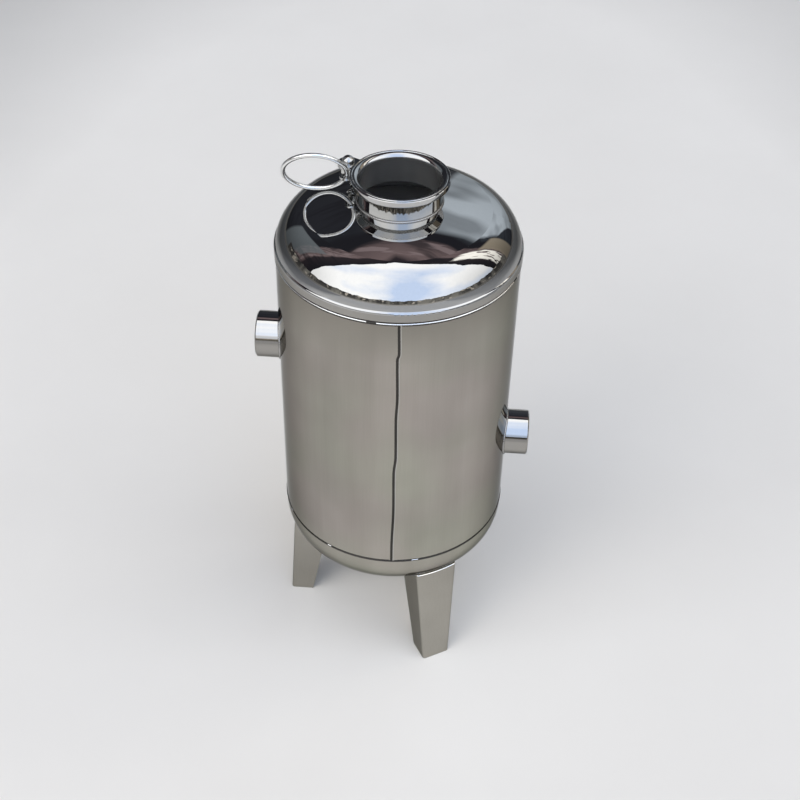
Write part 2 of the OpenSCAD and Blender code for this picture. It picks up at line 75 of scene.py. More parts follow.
# Sizes shared with part.scad, in metres
WALL = 2.0 * MM
NECK_WALL = 2.1 * MM
NECK_R = mounts["neck_bore"]["dims"]["r_mm"] * MM + NECK_WALL
CROWN_R = 400 * MM
KNUCKLE_R = 54 * MM
TOP_FLANGE = 6.5 * MM
RIM_SHOULDER = 5 * MM
BASE_FLANGE = 9 * MM
SEAM_ANGLE = math.radians(-86)
LEG_ANGLES = {"leg_left": 180, "leg_front": -60, "leg_back": 60}

# The pressed heads: a knuckle about a hub circle, then the crown
HUB_R = SHELL_R - KNUCKLE_R
CROWN_EDGE_R = HUB_R * CROWN_R / (CROWN_R - KNUCKLE_R)
CROWN_DROP = math.sqrt((CROWN_R - KNUCKLE_R) ** 2 - HUB_R ** 2)
TOP_TURN_Z = Z_UP + GAP / 2 + TOP_FLANGE
BASE_TURN_Z = Z_LOW - GAP / 2 - BASE_FLANGE


def grey(level):
    return (level, level, level)


# Node helpers
class Graph:
    """A node tree with short calls for the nodes that the materials share."""

    def __init__(self, tree):
        self.tree = tree

    def add(self, kind, **values):
        node = self.tree.nodes.new(kind)
        for key, value in values.items():
            setattr(node, key, value)
        return node

    def link(self, a, b):
        self.tree.links.new(a, b)

    def feed(self, socket, value):
        """Links another node's output to a socket, or sets a plain value on it."""
        if isinstance(value, bpy.types.NodeSocket):
            self.link(value, socket)
        else:
            socket.default_value = value

    def math(self, operation, a, b=0.0, c=None):
        node = self.add("ShaderNodeMath", operation=operation)
        self.feed(node.inputs[0], a)
        self.feed(node.inputs[1], b)
        if c is not None:
            self.feed(node.inputs[2], c)
        return node.outputs[0]

    def plus(self, a, b):
        return self.math("ADD", a, b)

    def minus(self, a, b):
        return self.math("SUBTRACT", a, b)

    def times(self, a, b):
        return self.math("MULTIPLY", a, b)

    def length(self, a, b):
        return self.math("SQRT", self.plus(self.times(a, a), self.times(b, b)))

    def coords(self, scale=(1, 1, 1)):
        """Object coordinates, in metres times a scale."""
        texco = self.add("ShaderNodeTexCoord")
        mapping = self.add("ShaderNodeMapping")
        mapping.inputs["Scale"].default_value = scale
        self.link(texco.outputs["Object"], mapping.inputs["Vector"])
        return mapping.outputs[0]

    def split(self, vector):
        node = self.add("ShaderNodeSeparateXYZ")
        self.link(vector, node.inputs[0])
        return node.outputs

    def noise(self, vector, scale, detail=3.0, rough=0.55):
        node = self.add("ShaderNodeTexNoise")
        self.link(vector, node.inputs["Vector"])
        node.inputs["Scale"].default_value = scale
        node.inputs["Detail"].default_value = detail
        node.inputs["Roughness"].default_value = rough
        return node.outputs["Fac"]

    def span(self, value, low, high, to_low=0.0, to_high=1.0):
        """Takes low to to_low and high to to_high, and stays at those ends beyond them."""
        node = self.add("ShaderNodeMapRange")
        self.feed(node.inputs["Value"], value)
        for name, number in (("From Min", low), ("From Max", high),
                             ("To Min", to_low), ("To Max", to_high)):
            node.inputs[name].default_value = number
        return node.outputs[0]

    def layer(self, vector, stretch, detail, values):
        """Noise whose scale differs along x, y and z, going from none to all over some values."""
        node = self.add("ShaderNodeVectorMath", operation="MULTIPLY")
        self.link(vector, node.inputs[0])
        node.inputs[1].default_value = stretch
        return self.span(self.noise(node.outputs[0], 1.0, detail), *values)

    def window(self, value, low, high, soft):
        """1 between low and high, falling to 0 over soft on either side."""
        rise = self.span(value, low - soft, low)
        fall = self.span(value, high, high + soft, 1.0, 0.0)
        return self.times(rise, fall)

    def ramp(self, value, stops):
        """A colour between stops, each a place from 0 to 1 and its colour."""
        node = self.add("ShaderNodeValToRGB")
        ramp = node.color_ramp
        while len(ramp.elements) < len(stops):
            ramp.elements.new(0.5)
        for element, (place, colour) in zip(ramp.elements, stops):
            element.position = place
            element.color = (*colour, 1.0)
        self.feed(node.inputs["Fac"], value)
        return node.outputs["Color"]

    def mix(self, factor, a, b, blend="MIX"):
        """Mixes two colours, which can be tuples or other nodes' outputs."""
        node = self.add("ShaderNodeMix", data_type="RGBA", blend_type=blend)
        self.feed(node.inputs["Factor"], factor)
        for socket, value in ((node.inputs[6], a), (node.inputs[7], b)):
            if isinstance(value, tuple):
                socket.default_value = (*value, 1.0)
            else:
                self.link(value, socket)
        return node.outputs[2]

    def bump(self, height, distance, normal=None):
        """A normal from a height of 0 to 1, whose full depth is distance in metres."""
        node = self.add("ShaderNodeBump")
        node.inputs["Strength"].default_value = 1.0
        node.inputs["Distance"].default_value = distance
        self.link(height, node.inputs["Height"])
        if normal is not None:
            self.link(normal, node.inputs["Normal"])
        return node.outputs["Normal"]


# Colours of the steel
SHEET = (0.388, 0.370, 0.330)
BRIGHT = (0.56, 0.56, 0.555)
# The wire's own colour; also a painted highlight on the legs' top edge chamfers and on stretches of the
# girth welds' crests
WIRE = (0.93, 0.93, 0.92)
SCALED = (0.42, 0.41, 0.40)
# A dark seam line; on the girth welds, painted shade on the flanks and on the crest between its painted
# highlights
UNDERCUT = (0.06, 0.057, 0.053)
RIDGE = (0.50, 0.485, 0.455)
PICKLED = ((0.90, 0.91, 0.93), (0.82, 0.83, 0.85))
GLANCING_TINT = (0.45, 0.45, 0.44)
# Painted shade below the top head's rim shoulder
RIM_SHADE = (0.335, 0.322, 0.297)
# Painted shade on the side sockets' lower parts
SOCKET_SHADE = (0.34, 0.325, 0.30)
# Painted shade on the shell towards its top, under the rim
SHELL_SHADE = (0.275, 0.258, 0.226)
GREENISH = (0.97, 1.0, 0.96)
ROSY = (1.025, 0.985, 1.01)

# Patterns of the steel, as noise scales in cycles per metre
SLOW = 9.0
PATCHES = 7.0
WAVES = 14.0
MARKS = 38.0
PITS = 420.0
UPRIGHT_BANDS = (22, 22, 1.2)
EVEN = (260, 260, 260)
UPRIGHT = (900, 900, 14)
RINGED = (14, 14, 900)
ACROSS = (900, 40, 40)
BEADED = (420, 420, 420)
SEAMED = (420, 420, 60)

# Stretches of a noise's values over which a layer goes from none to all
MIDDLE = (0.35, 0.65)
PATCH_VALUES = (0.38, 0.62)
BAND_VALUES = (0.36, 0.64)
PIT_VALUES = (0.60, 0.74)
MARK_VALUES = (0.35, 0.75)
LINE_VALUES = (0.40, 0.70)

# How strongly the steel's layers show
LINES_SHARE = 0.25
SMUDGE_LIFT = 0.6
BAND_TONES = (grey(0.93), grey(1.05))
PIT_DARKNESS = 0.45
MARK_BLUR = (0.7, 1.5)
LINE_BLUR = 0.4
# How strongly the painted shade shows
SHADE_SHARE = 0.85
SOCKET_FADE = 1.5 * MM
PICKLED_BLUR = 0.40
NECK_SKIN = 1.6 * MM
NECK_DULLNESS = 0.09

# The painted shade on a head's knuckle: where it sets in and ends, from the axis, and how far to the side
FLANK_START = (SHELL_R - 28 * MM, SHELL_R - 10 * MM)
FLANK_END = (SHELL_R - 5 * MM, SHELL_R - 2 * MM)
FLANK_SIDEWAYS = (60 * MM, 125 * MM)


def inside_mask(g, inside):
    """1 on the unpolished inner faces of the shell or of a head, less in the neck, 0 outside."""
    x, y, z = g.split(g.coords())
    flat = g.length(x, y)
    if inside == "neck":
        return g.times(g.math("LESS_THAN", flat, NECK_R - NECK_SKIN), NECK_DULLNESS)
    in_wall = g.math("LESS_THAN", flat, SHELL_R - WALL / 2)
    if inside == "shell":
        return in_wall
    turn_z, drop = (TOP_TURN_Z, CROWN_DROP) if inside == "top" else (BASE_TURN_Z, -CROWN_DROP)

    def nearer(centre_r, centre_z, radius):
        reach = g.length(g.minus(z, centre_z), g.minus(flat, centre_r))
        return g.math("LESS_THAN", reach, radius - WALL / 2)

    crown = nearer(0.0, turn_z - drop, CROWN_R)
    knuckle = nearer(HUB_R, turn_z, KNUCKLE_R)
    past = g.math("GREATER_THAN", flat, CROWN_EDGE_R)
    dish = g.plus(g.times(past, knuckle), g.times(g.minus(1.0, past), crown))
    return g.times(dish, in_wall)


def hue_drift(g, tint):
    """Slow patches of green and rose, and soft upright bands of dark and light."""
    patch = g.span(g.noise(g.coords(), PATCHES, detail=1.0), *PATCH_VALUES)
    tint = g.mix(1.0, tint, g.mix(patch, GREENISH, ROSY), blend="MULTIPLY")
    bands = g.span(g.noise(g.coords(UPRIGHT_BANDS), 1.0, detail=2.0), *BAND_VALUES)
    return g.mix(1.0, tint, g.mix(bands, *BAND_TONES), blend="MULTIPLY")


def shade(g, tint, height, colour, fade):
    """Painted shade: a darker colour below a height, or above it where the fade is negative."""
    _, _, z = g.split(g.coords())
    return g.mix(g.times(g.span(z, height, height + fade, 1.0, 0.0), SHADE_SHARE), tint, colour)


def darker_flanks(g, tint, strength):
    """Painted shade that darkens a head's knuckle towards -x and +x."""
    x, y, _ = g.split(g.coords())
    flat = g.length(x, y)
    band = g.times(g.span(flat, *FLANK_START), g.span(flat, *FLANK_END, 1.0, 0.0))
    sideways = g.span(g.math("ABSOLUTE", x), *FLANK_SIDEWAYS)
    return g.mix(g.times(g.times(band, sideways), strength), tint, grey(0.0))


def steel(name, colour, rough, grain, grain_depth, wave_depth=0.0, smudge=0.10, wear=0.0, inside=None,
          edge=0.0, foot=None, hue=False, flanks=0.0):
    """Stainless steel: grain lines along an axis, slow waves, wiping marks and a colour drift.

    inside names the shell or head whose inner faces are pickled, not polished. edge rounds
    the corners in the shading, by that radius. foot gives the painted shade its height, colour
    and fade. hue adds hue_drift, and flanks is the strength of the painted shade on a head's knuckle.
    """
    mat = bpy.data.materials.new(name)
    mat.use_nodes = True
    mat.node_tree.nodes.clear()
    g = Graph(mat.node_tree)
    out = g.add("ShaderNodeOutputMaterial")
    shader = g.add("ShaderNodeBsdfPrincipled")
    shader.inputs["Metallic"].default_value = 1.0
    shader.inputs["Specular Tint"].default_value = (*GLANCING_TINT, 1.0)
    g.link(shader.outputs[0], out.inputs[0])
    plain = g.coords()
    lines = g.noise(g.coords(grain), 1.0, detail=4.0, rough=0.6)
    slow = g.noise(plain, SLOW, detail=2.0)
    marks = g.noise(plain, MARKS, detail=5.0, rough=0.65)

    low = tuple(c * (1.0 - smudge) for c in colour)
    high = tuple(min(1.0, c * (1.0 + smudge * SMUDGE_LIFT)) for c in colour)
    drift = g.plus(g.times(slow, 1.0 - LINES_SHARE), g.times(lines, LINES_SHARE))
    tint = g.mix(g.span(drift, *MIDDLE), low, high)
    if hue:
        tint = hue_drift(g, tint)
    if wear:
        pits = g.span(g.noise(plain, PITS, detail=2.0), *PIT_VALUES)
        tint = g.mix(g.times(pits, wear), tint, tuple(c * PIT_DARKNESS for c in colour))
    blur = g.plus(g.span(marks, *MARK_VALUES, *(rough * share for share in MARK_BLUR)),
                  g.span(lines, *LINE_VALUES, 0.0, rough * LINE_BLUR))
    if inside:
        mask = inside_mask(g, inside)
        blur = g.plus(blur, g.times(mask, PICKLED_BLUR))
        tint = g.mix(mask, tint, g.mix(g.span(slow, *MIDDLE), *PICKLED))
        g.link(g.span(mask, 0.0, 1.0, 1.0, 0.0), shader.inputs["Metallic"])
    if foot:
        tint = shade(g, tint, *foot)
    if flanks:
        tint = darker_flanks(g, tint, flanks)
    g.link(tint, shader.inputs["Base Color"])
    g.link(blur, shader.inputs["Roughness"])

    corner = None
    if edge:
        bevel = g.add("ShaderNodeBevel", samples=4)
        bevel.inputs["Radius"].default_value = edge
        corner = bevel.outputs[0]
    normal = g.bump(lines, grain_depth, normal=corner)
    if wave_depth:
        normal = g.bump(g.noise(plain, WAVES, detail=1.0), wave_depth, normal=normal)
    g.link(normal, shader.inputs["Normal"])
    return mat


def socket_foot(port_z):
    """The painted shade of a side socket, from half its radius above its axis down."""
    return (port_z + PORT_R / 2, SOCKET_SHADE, SOCKET_FADE)


SOCKET = dict(colour=BRIGHT, rough=0.035, grain=ACROSS, grain_depth=0.8 * MICRON, smudge=0.06,
              edge=0.5 * MM)
RECIPES = {
    # The shell's look: painted shade towards its top, under the rim
    "polished_shell": dict(
        colour=SHEET, rough=0.060, grain=UPRIGHT, grain_depth=1.2 * MICRON, wave_depth=30 * MICRON,
        inside="shell", foot=(Z_UP - 2 * MM, SHELL_SHADE, -58 * MM), hue=True),
    # The top head's look: painted shade below its rim shoulder and on its knuckle's flanks
    "polished_head": dict(
        colour=BRIGHT, rough=0.018, grain=EVEN, grain_depth=0.3 * MICRON, wave_depth=4 * MICRON,
        smudge=0.05, inside="top", foot=(TOP_TURN_Z + RIM_SHOULDER, RIM_SHADE, 0.6 * MM), flanks=0.55),
    "polished_fitting": dict(
        colour=BRIGHT, rough=0.030, grain=RINGED, grain_depth=0.5 * MICRON, smudge=0.06,
        inside="neck", edge=0.4 * MM),
    "turned_socket": SOCKET,
    "polished_leg": dict(
        colour=SHEET, rough=0.10, grain=UPRIGHT, grain_depth=2.2 * MICRON, wave_depth=20 * MICRON,
        wear=0.15, edge=0.4 * MM),
    "bright_fastener": dict(
        colour=BRIGHT, rough=0.05, grain=EVEN, grain_depth=1.0 * MICRON, smudge=0.08, wear=0.2,
        edge=0.4 * MM),
    "bright_wire": dict(colour=WIRE, rough=0.16, grain=EVEN, grain_depth=0.6 * MICRON, smudge=0.06),
    "inner_tube": dict(
        colour=SCALED, rough=0.22, grain=EVEN, grain_depth=3.0 * MICRON, smudge=0.15, wear=0.3),
    "weld_bead": dict(
        colour=SCALED, rough=0.12, grain=BEADED, grain_depth=20 * MICRON, smudge=0.18, wear=0.4),
    "seam_line": dict(
        colour=UNDERCUT, rough=0.22, grain=SEAMED, grain_depth=10 * MICRON, smudge=0.25, wear=0.3),
    "seam_ridge": dict(
        colour=RIDGE, rough=0.12, grain=SEAMED, grain_depth=10 * MICRON, smudge=0.10, wear=0.2),
    "polished_base": dict(
        colour=SHEET, rough=0.05, grain=EVEN, grain_depth=0.6 * MICRON, wave_depth=10 * MICRON,
        smudge=0.06, inside="bottom", hue=True),
    # The side sockets' own looks: their lower parts take painted shade
    "upper_socket_painted_shade": dict(SOCKET, foot=socket_foot(UPPER_PORT_Z)),
    "lower_socket_painted_shade": dict(SOCKET, foot=socket_foot(LOWER_PORT_Z)),
}
LOOKS = {name: steel(name, **recipe) for name, recipe in RECIPES.items()}

# Nodes with a look of their own, in place of their slot's
OWN_LOOKS = {"bottom_head": "polished_base", "upper_port_socket": "upper_socket_painted_shade",
             "lower_port_socket": "lower_socket_painted_shade"}

for entry in frame["record"]["subparts"]:
    part = nodes[entry["node"]]
    part.data.materials.clear()
    part.data.materials.append(LOOKS[OWN_LOOKS.get(entry["node"], entry["material_slot"])])


# Mesh pieces
def head_under(r):
    """Height of the bottom head's outside at a distance from the axis."""
    if r > CROWN_EDGE_R:
        return BASE_TURN_Z - math.sqrt(max(0.0, KNUCKLE_R ** 2 - (r - HUB_R) ** 2))
    return BASE_TURN_Z + CROWN_DROP - math.sqrt(CROWN_R ** 2 - r ** 2)


def head_over(r):
    """Height of the top head's crown at a distance from the axis."""
    return TOP_TURN_Z - CROWN_DROP + math.sqrt(CROWN_R ** 2 - r ** 2)


def loft(rings, loop_path=False):
    """Points and quads through equal closed rings of points."""
    count = len(rings[0])
    points = [point for ring in rings for point in ring]
    faces = []
    for row in range(len(rings) if loop_path else len(rings) - 1):
        after = (row + 1) % len(rings)
        for k in range(count):
            k2 = (k + 1) % count
            faces.append((row * count + k, row * count + k2, after * count + k2, after * count + k))
    return points, faces


def make_piece(name, points, faces, looks, replaced=None, picks=None, crease=40.0):
    """A smooth mesh piece that rides on the tank. picks gives each face's place in looks."""
    mesh = bpy.data.meshes.new(name)
    mesh.from_pydata([tuple(p) for p in points], [], faces)
    for look in looks:
        mesh.materials.append(LOOKS[look])
    if picks:
        mesh.polygons.foreach_set("material_index", picks)
    shape = bmesh.new()
    shape.from_mesh(mesh)
    bmesh.ops.recalc_face_normals(shape, faces=shape.faces)
    shape.to_mesh(mesh)
    shape.free()
    mesh.polygons.foreach_set("use_smooth", [True] * len(mesh.polygons))
    mesh.set_sharp_from_angle(angle=math.radians(crease))
    piece = bpy.data.objects.new(name, mesh)
    bpy.context.scene.collection.objects.link(piece)
    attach(piece, "tank")
    if replaced:
        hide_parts(replaced)


# Weld beads, whose scales overlap along the bead
BEAD_PITCH = 2.2 * MM
BEAD_STEPS = 6
BEAD_SIDES = 8
BEAD_SWELL = 0.16
BEAD_CREASE = 60.0
NECK_BEAD_R = 2.2 * MM
DRAIN_BEAD_R = 1.8 * MM
PORT_BEAD_R = 2.1 * MM
LEG_BEAD_R = 1.9 * MM

# Girth welds: scales round the tank, and shares of the crest's height and half width
GIRTH_SCALES = 340
GIRTH_SWELL = 0.12
GIRTH_FLANK_RISE = 0.02
CREST_FOOT = 0.12
CREST_CUTS = (-1.0, -0.7, -0.35, 0.0, 0.35, 0.7, 1.0)


def ripple(i, period=BEAD_STEPS):
    """Height of one weld scale: each laps over the next."""
    return 1.0 - ((i % period) / period) ** 2


def tube_rings(path, radius, facing, closed):
    """Rings of a rippled bead along a path. facing gives the way out of the corner at a point."""
    rings = []
    last = len(path) - 1
    turns = [math.tau * k / BEAD_SIDES for k in range(BEAD_SIDES)]
    for i, place in enumerate(path):
        before = path[i - 1] if closed or i > 0 else place
        after = path[(i + 1) % len(path)] if closed or i < last else place
        ahead = (after - before).normalized()
        out = facing(place)
        out = (out - ahead * out.dot(ahead)).normalized()
        side = ahead.cross(out)
        reach = radius * (1.0 - BEAD_SWELL * ripple(i))
        rings.append([place + (out * math.cos(a) + side * math.sin(a)) * reach for a in turns])
    return rings


def bead_angles(r):
    """Angles round a circle, cut so that a whole number of weld scales fits."""
    steps = BEAD_STEPS * round(math.tau * r / BEAD_PITCH)
    return [math.tau * k / steps for k in range(steps)]


def make_bead(name, replaced, path, radius, facing):
    """A rippled bead along a closed path."""
    points, faces = loft(tube_rings(path, radius, facing, closed=True), loop_path=True)
    make_piece(name, points, faces, ["weld_bead"], replaced, crease=BEAD_CREASE)


def make_round_bead(name, replaced, r, z, radius, rise):
    """Bead round a tube that stands on a head. rise is 1 above the head and -1 under it."""
    path = [Vector((r * math.cos(a), r * math.sin(a), z)) for a in bead_angles(r)]
    make_bead(name, replaced, path, radius, lambda place: Vector((place.x, place.y, rise * r)))


def make_port_bead(level, side, z):
    """Bead where a side socket meets the shell: the saddle curve of the two cylinders."""
    path = []
    for a in bead_angles(PORT_R):
        y = PORT_R * math.cos(a)
        path.append(Vector((side * math.sqrt(SHELL_R ** 2 - y ** 2), y, z + PORT_R * math.sin(a))))
    make_bead(level + "_port_bead", level + "_port_weld", path, PORT_BEAD_R,
              lambda place: Vector((side * PORT_R, place.y, place.z - z)))


def girth_drift(a):
    """How far a girth weld's crest wanders up or down at an angle."""
    return 0.15 * MM * math.sin(5 * a) + 0.10 * MM * math.sin(13 * a)


def girth_light(a):
    """A slow wave from -1 to 1 that decides where a girth weld's crest takes a painted highlight."""
    return 0.6 * math.sin(9 * a + 1.1) + 0.4 * math.sin(23 * a)


def make_girth_bead(name, replaced, z, below, above, height, crest, light):
    """Girth weld: root in the plates' gap, flanks darkened with painted shade, and a scaled crest.

    below and above are the flanks' reach, crest is the crest's half width, and light is the
    least girth_light that gives the crest a painted highlight; elsewhere the crest takes painted shade.
    """
    plain, dark, bright = range(3)
    steps = BEAD_STEPS * GIRTH_SCALES
    rings, picks = [], []
    for k in range(steps):
        a = math.tau * k / steps
        top = height * (1.0 - GIRTH_SWELL + GIRTH_SWELL * ripple(k))
        flank_r = SHELL_R + top * GIRTH_FLANK_RISE
        section = [(SHELL_R - WALL, -GAP / 2), (flank_r, -below)]
        for cut in CREST_CUTS:
            rise = 1.0 - (1.0 - CREST_FOOT) * cut ** 2
            section.append((SHELL_R + top * rise, crest * cut + girth_drift(a)))
        section += [(flank_r, above), (SHELL_R - WALL, GAP / 2)]
        rings.append([Vector((r * math.cos(a), r * math.sin(a), z + up)) for r, up in section])
        # Painted highlight or painted shade on the crest, and painted shade on the flanks
        crest_look = bright if girth_light(a) >= light else dark
        picks += [plain, dark] + [crest_look] * (len(CREST_CUTS) - 1) + [dark, plain, plain]
    points, faces = loft(rings, loop_path=True)
    looks = ["weld_bead", "seam_line", "bright_wire"]
    make_piece(name, points, faces, looks, replaced, picks)


# The longitudinal seam. Its line wanders sideways, as (height, offset) in metres
SEAM_WANDER = ((0.607, 0.0022), (0.564, 0.0029), (0.555, 0.0010), (0.496, 0.0019), (0.462, 0.0008),
               (0.402, 0.0014), (0.372, -0.0006), (0.310, 0.0000), (0.240, -0.0014), (0.215, -0.0013))
SEAM_STEPS = 600
SEAM_SCALE_STEPS = 5
SEAM_SKIN = 0.03 * MM
SEAM_LEFT = -5.0 * MM
SEAM_RIGHT = 6.0 * MM
SEAM_JITTER = 0.12 * MM
SEAM_JITTER_TURNS = (0.9, 0.13)
SEAM_LUMP = 0.22 * MM

# Section of the dark line and the ridge beside it: across, out of the shell, share of a lump
SEAM_SECTION = ((-2.2 * MM, SEAM_SKIN, 0), (-1.9 * MM, 0.12 * MM, 0), (-0.3 * MM, 0.16 * MM, 0),
                (1.1 * MM, 0.20 * MM, 0), (1.4 * MM, 0.35 * MM, 1), (1.9 * MM, 0.32 * MM, 1),
                (2.3 * MM, 0.06 * MM, 0))


def seam_offset(z):
    """Sideways offset of the seam's line at a height, eased between the marks of its wander."""
    for (high, start), (low, end) in zip(SEAM_WANDER, SEAM_WANDER[1:]):
        if z >= low:
            part = min(1.0, (high - z) / (high - low))
            return start + (end - start) * (0.5 - 0.5 * math.cos(math.pi * part))
    return SEAM_WANDER[-1][1]


def make_seam():
    """Longitudinal seam: a flush strip in the shell's steel, a dark line and a light ridge on it."""
    strip, line, ridge = range(3)
    low = Z_LOW + GAP / 2
    high = Z_UP - GAP / 2
    fast, slow = SEAM_JITTER_TURNS
    rings = []
    for k in range(SEAM_STEPS + 1):
        z = low + (high - low) * k / SEAM_STEPS
        mid = seam_offset(z) + SEAM_JITTER * math.sin(k * fast) * math.sin(k * slow)
        lump = SEAM_LUMP * ripple(k, SEAM_SCALE_STEPS)
        section = [(SEAM_LEFT, SEAM_SKIN)]
        section += [(mid + across, out + share * lump) for across, out, share in SEAM_SECTION]
        section += [(SEAM_RIGHT, SEAM_SKIN), (GAP / 2, -WALL), (-GAP / 2, -WALL)]
        ring = []
        for across, out in section:
            a = SEAM_ANGLE + across / SHELL_R
            ring.append(Vector(((SHELL_R + out) * math.cos(a), (SHELL_R + out) * math.sin(a), z)))
        rings.append(ring)
    points, faces = loft(rings)
    picks = ([strip] + [line] * 3 + [ridge] * 3 + [strip] * 4) * SEAM_STEPS
    make_piece("seam_bead", points, faces, ["polished_shell", "seam_line", "seam_ridge"],
               "shell_seam_weld", picks, crease=BEAD_CREASE)


# The port threads, as ridges that run in and out over a part of a turn
THREAD_PITCH = 2.3 * MM
THREAD_DEPTH = 1.0 * MM
THREAD_SUNK = 0.2 * MM
THREAD_LENGTH = 21 * MM
THREAD_INSET = 3 * MM
THREAD_SIDES = 40
THREAD_FADE_TURNS = 0.6
THREAD_ROOT_SHARE = 0.45
THREAD_CREST_SHARE = 0.08


def make_port_thread(level, side, z):
    """The thread's ridge in a side socket, from near its mouth inwards."""
    spin = Matrix.Rotation(math.radians(-90 * side), 3, "Y")
    base = Vector((side * (PORT_END - THREAD_INSET), 0.0, z))
    steps = int(THREAD_SIDES * THREAD_LENGTH / THREAD_PITCH)
    fade_steps = THREAD_FADE_TURNS * THREAD_SIDES
    root = PORT_BORE_R + THREAD_SUNK
    rings = []
    for k in range(steps + 1):
        a = math.tau * k / THREAD_SIDES
        crest = PORT_BORE_R - THREAD_DEPTH * min(1.0, k / fade_steps, (steps - k) / fade_steps)
        ring = []
        for r, share in ((root, -THREAD_ROOT_SHARE), (crest, -THREAD_CREST_SHARE),
                         (crest, THREAD_CREST_SHARE), (root, THREAD_ROOT_SHARE)):
            along = THREAD_PITCH * (k / THREAD_SIDES + share)
            ring.append(base + spin @ Vector((r * math.cos(a), r * math.sin(a), along)))
        rings.append(ring)
    points, faces = loft(rings)
    make_piece(level + "_port_thread", points, faces, ["turned_socket"], crease=30)


# The folded leg, in metres
LEG_T = 3.0 * MM
LEG_BEND = 3.8 * MM
LEG_CHAMFER = 0.6 * MM
LEG_DIP = 2.4 * MM
LEG_TOP_R = 138 * MM
LEG_FOOT_W = 40 * MM
LEG_FOOT_DEPTH = 32 * MM
LEG_INNER_TOP_R = 90 * MM
LEG_INNER_FOOT_R = LEG_FOOT_R - LEG_FOOT_DEPTH
LEG_LEAN = (LEG_FOOT_R - LEG_TOP_R) / LEG_TOP_Z
LEG_FLARE = (LEG_TOP_W - LEG_FOOT_W) / 2 / LEG_TOP_Z
LEG_INNER_LEAN = (LEG_INNER_FOOT_R - LEG_INNER_TOP_R) / head_under(LEG_INNER_TOP_R)
LEG_LEVELS = 12
FLANGE_STEPS = 14
BEND_STEPS = 6
WEB_STEPS = 12
HEAD_CLEARANCE = 0.1 * MM
SETTLE_STEPS = 20

# The channel's path in plan, from one inner edge round to the other: what, which side, how far
LEG_MARKS = [("flange", -1, k / FLANGE_STEPS) for k in range(FLANGE_STEPS)]
LEG_MARKS += [("bend", -1, k / BEND_STEPS) for k in range(BEND_STEPS + 1)]
LEG_MARKS += [("web", 0, k / WEB_STEPS) for k in range(1, WEB_STEPS)]
LEG_MARKS += [("bend", 1, 1 - k / BEND_STEPS) for k in range(BEND_STEPS + 1)]
LEG_MARKS += [("flange", 1, 1 - k / FLANGE_STEPS) for k in range(1, FLANGE_STEPS + 1)]


def leg_spot(inset, mark, z):
    """The point at a mark and a height of the channel's outline, inset from its outer faces."""
    kind, side, part = mark
    face = LEG_FOOT_R - inset - LEG_LEAN * z
    half = LEG_FOOT_W / 2 - inset + LEG_FLARE * z
    bend = LEG_BEND - inset
    if kind == "flange":
        edge = LEG_INNER_FOOT_R - LEG_INNER_LEAN * z
        return Vector((edge + (face - bend - edge) * part, side * half, z))
    if kind == "bend":
        turn = math.pi / 2 * part
        return Vector((face - bend + bend * math.sin(turn), side * (half - bend + bend * math.cos(turn)), z))
    return Vector((face, (half - bend) * (2 * part - 1), z))


def leg_top(inset, mark):
    """Where the leg's upright line at a mark ends: at the web's dipped top or under the head.

    The line leans, so its distance from the axis and the head's height settle step by step.
    """
    kind, _, part = mark
    top = LEG_TOP_Z - (LEG_DIP * 4 * part * (1 - part) if kind == "web" else 0.0)
    z = top
    for _ in range(SETTLE_STEPS):
        spot = leg_spot(inset, mark, z)
        z = min(top, head_under(math.hypot(spot.x, spot.y)) - HEAD_CLEARANCE)
    return z


def make_leg(name, angle):
    """Channel leg folded from one plate, with round bends and its flanges cut to the head."""
    spin = Matrix.Rotation(math.radians(angle), 3, "Z")
    sides = []
    for inset, last_inset in ((0.0, LEG_CHAMFER), (LEG_T, LEG_T)):
        reach = [(mark, leg_top(inset, mark) - LEG_CHAMFER) for mark in LEG_MARKS]
        side = [[spin @ leg_spot(inset, mark, height * level / LEG_LEVELS) for mark, height in reach]
                for level in range(LEG_LEVELS + 1)]
        side.append([spin @ leg_spot(last_inset, mark, leg_top(last_inset, mark)) for mark in LEG_MARKS])
        sides.append(side)
    points, faces = loft([outer + inner[::-1] for outer, inner in zip(*sides)])
    count = 2 * len(LEG_MARKS)
    plate, chamfer = range(2)
    # The chamfer along the top edge takes the bright wire look: a painted highlight line on a real chamfer
    picks = [plate] * (LEG_LEVELS * count) + [chamfer] * count
    for base in (0, (LEG_LEVELS + 1) * count):
        for k in range(count // 2 - 1):
            faces.append((base + k, base + k + 1, base + count - 2 - k, base + count - 1 - k))
            picks.append(plate)
    make_piece(name + "_folded", points, faces, ["polished_leg", "bright_wire"], name,
               picks, crease=30)


def make_leg_beads():
    """Two rippled beads outside each leg's flanges, along the bottom head."""
    steps = 105
    start, length = 0.04, 0.80
    droop = 0.6
    points, faces = [], []
    for angle in LEG_ANGLES.values():
        spin = Matrix.Rotation(math.radians(angle), 3, "Z")
        for side in (-1, 1):
            marks = [("flange", side, start + length * k / steps) for k in range(steps + 1)]
            path = [leg_spot(0.0, mark, leg_top(0.0, mark)) for mark in marks]
            out = Vector((0.0, side, -droop))
            tube, quads = loft(tube_rings(path, LEG_BEAD_R, lambda _, out=out: out, closed=False))
            ends = [range(BEAD_SIDES), range(len(tube) - BEAD_SIDES, len(tube))]
            first = len(points)
            points += [spin @ spot for spot in tube]
            faces += [tuple(first + k for k in face) for face in quads + ends]
    make_piece("leg_beads", points, faces, ["weld_bead"], "leg_welds", crease=BEAD_CREASE)


PORTS = (("upper", -1, UPPER_PORT_Z), ("lower", 1, LOWER_PORT_Z))


